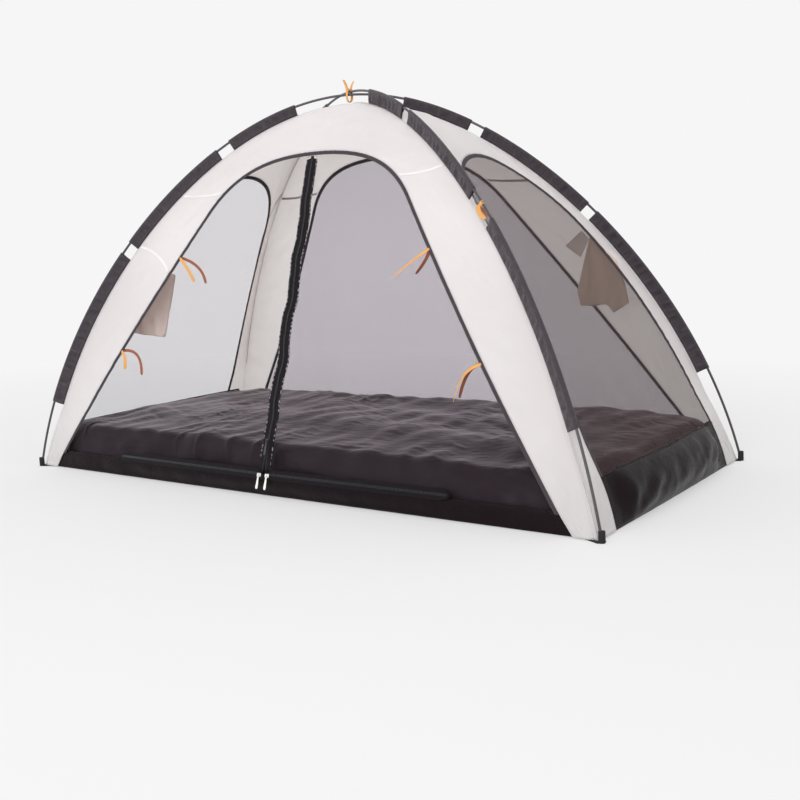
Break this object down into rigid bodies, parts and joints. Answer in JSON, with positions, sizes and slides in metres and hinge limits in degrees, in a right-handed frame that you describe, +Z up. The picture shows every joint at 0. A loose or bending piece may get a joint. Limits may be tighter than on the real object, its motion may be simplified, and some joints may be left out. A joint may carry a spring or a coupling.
{
  "type": "mosquito net tent",
  "caption": "Free-standing mosquito net tent for a single bed, with crossed bent poles in sleeves, a net canopy, a zipped double door and a dark fitted base cover.",
  "frame": {"origin": "on the floor under the crossing of the poles, in the middle of the base", "axes": "+Z up, door side towards -Y, +X along the bed to the end at the viewer's right"},
  "size_m": [1.996, 0.9322, 1.1368],
  "materials": {
    "fibreglass": "black pultruded rod, satin",
    "sleeve_nylon": "charcoal nylon, slight sheen",
    "canopy_polyester": "cream white coated polyester",
    "binding_tape": "charcoal woven tape",
    "net": "fine pale net, see-through",
    "zip_black": "black coil zip on woven tape",
    "black_metal": "black enamelled slider",
    "bright_metal": "bright plated slider",
    "base_nylon": "dark nylon, slight sheen",
    "webbing": "black woven webbing",
    "orange_ribbon": "orange satin ribbon",
    "orange_ribbon_inner": "orange satin ribbon",
    "pocket_cloth": "olive brown cloth"
  },
  "bodies": {
    "tent": {"pole_a_front": "fibreglass", "pole_a_crown": "fibreglass", "pole_a_back": "fibreglass", "pole_b_front": "fibreglass", "pole_b_crown": "fibreglass", "pole_b_back": "fibreglass", "sleeve_a_front_1": "sleeve_nylon", "sleeve_a_front_2": "sleeve_nylon", "sleeve_a_front_3": "sleeve_nylon", "sleeve_a_back_1": "sleeve_nylon", "sleeve_a_back_2": "sleeve_nylon", "sleeve_a_back_3": "sleeve_nylon", "sleeve_b_front_1": "sleeve_nylon", "sleeve_b_front_2": "sleeve_nylon", "sleeve_b_front_3": "sleeve_nylon", "sleeve_b_back_1": "sleeve_nylon", "sleeve_b_back_2": "sleeve_nylon", "sleeve_b_back_3": "sleeve_nylon", "front_panel": "canopy_polyester", "right_panel": "canopy_polyester", "back_panel": "canopy_polyester", "left_panel": "canopy_polyester", "front_binding": "binding_tape", "right_binding": "binding_tape", "back_binding": "binding_tape", "left_binding": "binding_tape", "right_net": "net", "back_net": "net", "left_net": "net", "front_left_net": "net", "front_right_net": "net", "sill_zip_tape": "zip_black", "base_cover": "base_nylon", "base_skirt": "base_nylon", "foot_pocket_front_right": "webbing", "foot_pocket_back_right": "webbing", "foot_pocket_back_left": "webbing", "foot_pocket_front_left": "webbing", "tie_upper_left_outer": "orange_ribbon", "tie_upper_left_inner": "orange_ribbon_inner", "tie_lower_left_outer": "orange_ribbon", "tie_lower_left_inner": "orange_ribbon_inner", "tie_upper_right_outer": "orange_ribbon", "tie_upper_right_inner": "orange_ribbon_inner", "tie_lower_right_outer": "orange_ribbon", "tie_lower_right_inner": "orange_ribbon_inner", "crown_tie": "orange_ribbon", "pole_tie": "orange_ribbon", "pocket_right": "pocket_cloth", "pocket_left": "pocket_cloth"},
    "door_left": {"door_left_net": "net", "door_left_zip": "zip_black"},
    "door_right": {"door_right_net": "net", "door_right_zip": "zip_black"},
    "door_slider_body": {"door_slider": "black_metal"},
    "door_pull_body": {"door_pull": "black_metal"},
    "sill_slider_left_body": {"sill_slider_left": "bright_metal"},
    "sill_pull_left_body": {"sill_pull_left": "bright_metal"},
    "sill_slider_right_body": {"sill_slider_right": "bright_metal"},
    "sill_pull_right_body": {"sill_pull_right": "bright_metal"}
  },
  "joints": [
    {"name": "door_left_hinge", "type": "hinge", "parent": "tent", "child": "door_left", "pos_m": [-0.6, -0.44549, 0.0646], "axis": [-0.5492, -0.2513, -0.797], "range_deg": [0, 110]},
    {"name": "door_right_hinge", "type": "hinge", "parent": "tent", "child": "door_right", "pos_m": [0.6, -0.44549, 0.0646], "axis": [-0.5492, 0.2513, 0.797], "range_deg": [0, 110]},
    {"name": "door_slider_travel", "type": "slide", "parent": "door_left", "child": "door_slider_body", "axis": [0, 0.3099, 0.9508], "range_m": [0, 0.74]},
    {"name": "door_pull_hinge", "type": "hinge", "parent": "door_slider_body", "child": "door_pull_body", "pos_m": [-0.00435, -0.4312, 0.14841], "axis": [-0.9999, 0.014, -0.0046], "range_deg": [0, 150]},
    {"name": "sill_slider_left_travel", "type": "slide", "parent": "tent", "child": "sill_slider_left_body", "axis": [-0.9999, 0.0155, 0], "range_m": [0, 0.57]},
    {"name": "sill_pull_left_hinge", "type": "hinge", "parent": "sill_slider_left_body", "child": "sill_pull_left_body", "pos_m": [-0.01457, -0.45933, 0.06163], "axis": [-0.9999, 0.0155, 0], "range_deg": [0, 150]},
    {"name": "sill_slider_right_travel", "type": "slide", "parent": "tent", "child": "sill_slider_right_body", "axis": [0.9999, 0.0155, 0], "range_m": [0, 0.57]},
    {"name": "sill_pull_right_hinge", "type": "hinge", "parent": "sill_slider_right_body", "child": "sill_pull_right_body", "pos_m": [0.01457, -0.45933, 0.06163], "axis": [-0.9999, -0.0155, 0], "range_deg": [0, 150]}
  ]
}
